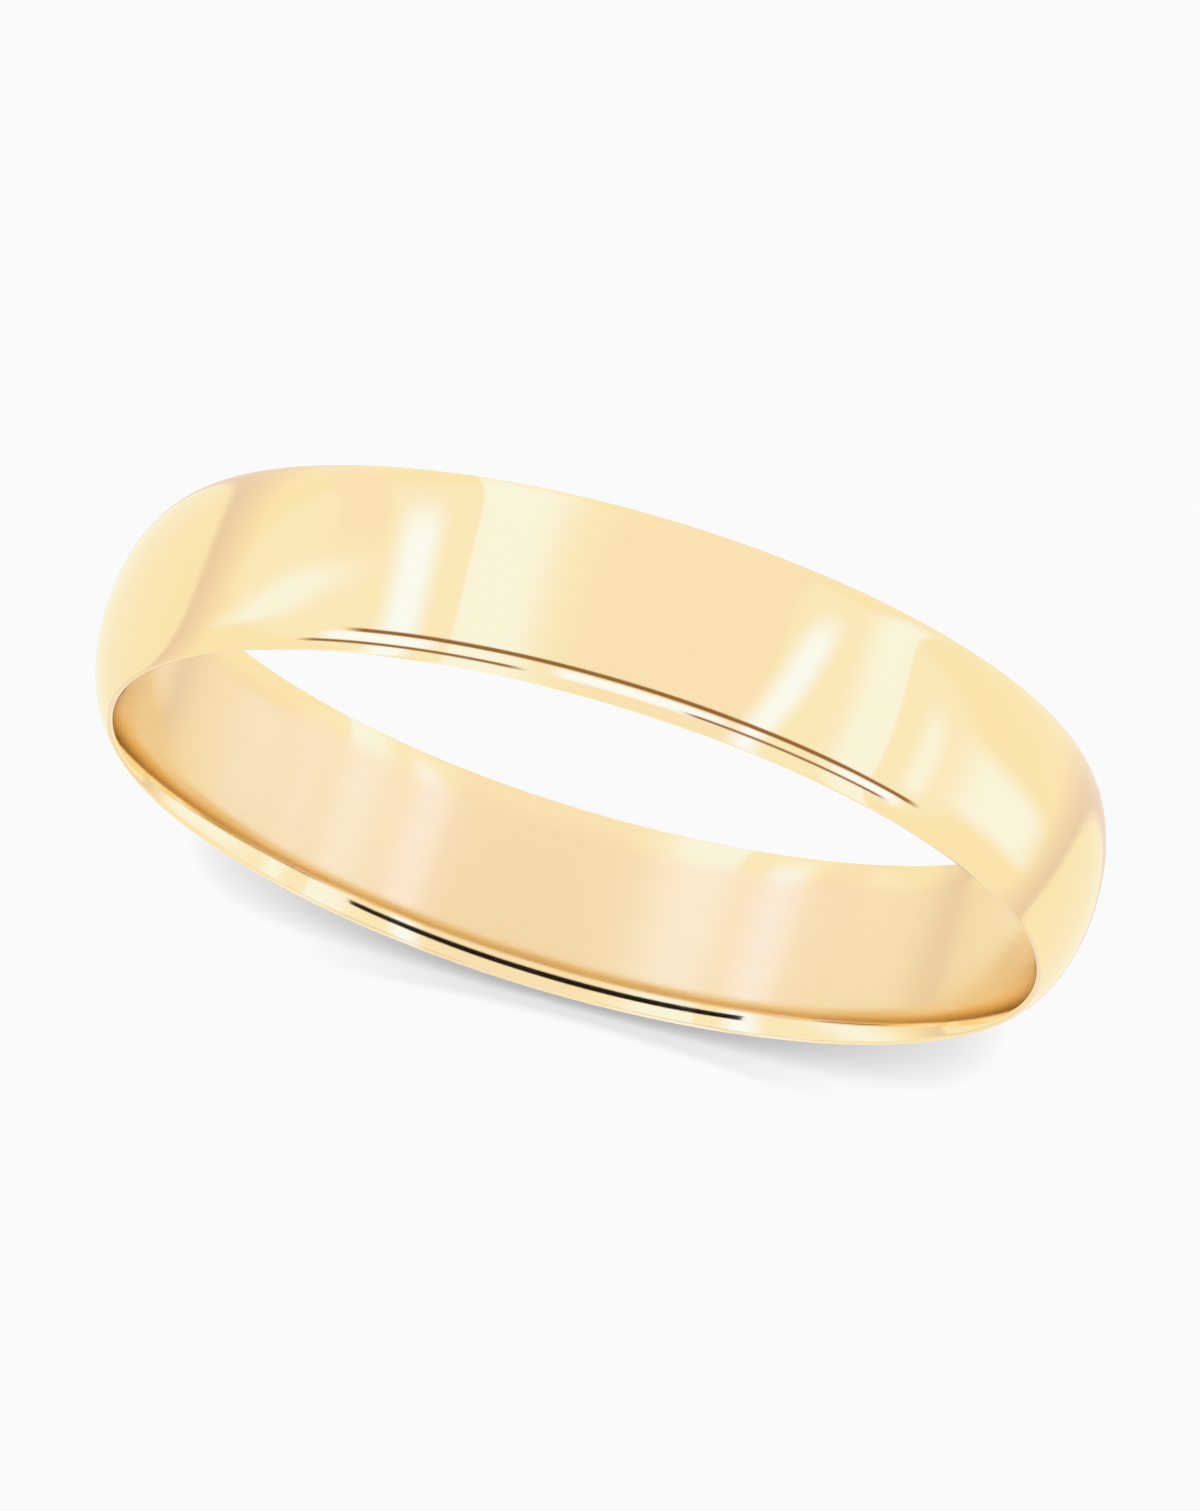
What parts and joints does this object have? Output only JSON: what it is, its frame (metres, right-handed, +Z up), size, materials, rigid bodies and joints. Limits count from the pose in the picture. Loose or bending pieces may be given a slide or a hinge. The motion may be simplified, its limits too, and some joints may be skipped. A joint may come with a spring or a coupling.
{
  "type": "wedding band",
  "caption": "Plain polished yellow gold wedding band: a seamless ring with a shallow domed outside, a straight finger hole and eased edges.",
  "frame": {"origin": "centre of the finger hole, midway between the two sides", "axes": "+Y along the finger hole, +Z up with the ring standing on its edge like a wheel, +X to the right"},
  "size_m": [0.0208, 0.004, 0.0208],
  "materials": {
    "polished_gold": "yellow gold, mirror polished outside and on the edges, finer satin polish in the finger hole"
  },
  "bodies": {
    "root": {"band": "polished_gold"}
  },
  "joints": []
}
